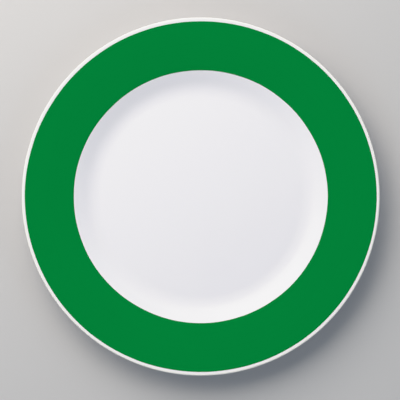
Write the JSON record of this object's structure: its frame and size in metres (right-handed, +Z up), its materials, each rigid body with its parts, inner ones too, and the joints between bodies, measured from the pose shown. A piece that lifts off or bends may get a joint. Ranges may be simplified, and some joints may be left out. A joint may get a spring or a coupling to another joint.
{
  "type": "dinner plate",
  "caption": "Round white china dinner plate with a flat well, a broad gently sloping rim under a plain green enamel band, a bare white lip and a low unglazed foot ring.",
  "frame": {"origin": "centre of the plane that the foot ring stands on", "axes": "+Z up along the plate's axis, out of the face; X and Y lie in the standing plane and are interchangeable"},
  "size_m": [0.27, 0.27, 0.0215],
  "materials": {
    "bisque": "matte",
    "white_glaze": "gloss",
    "green_enamel": "gloss"
  },
  "bodies": {
    "root": {"porcelain_body": "bisque", "upper_glaze": "white_glaze", "base_glaze": "white_glaze", "green_rim_band": "green_enamel"}
  },
  "joints": []
}
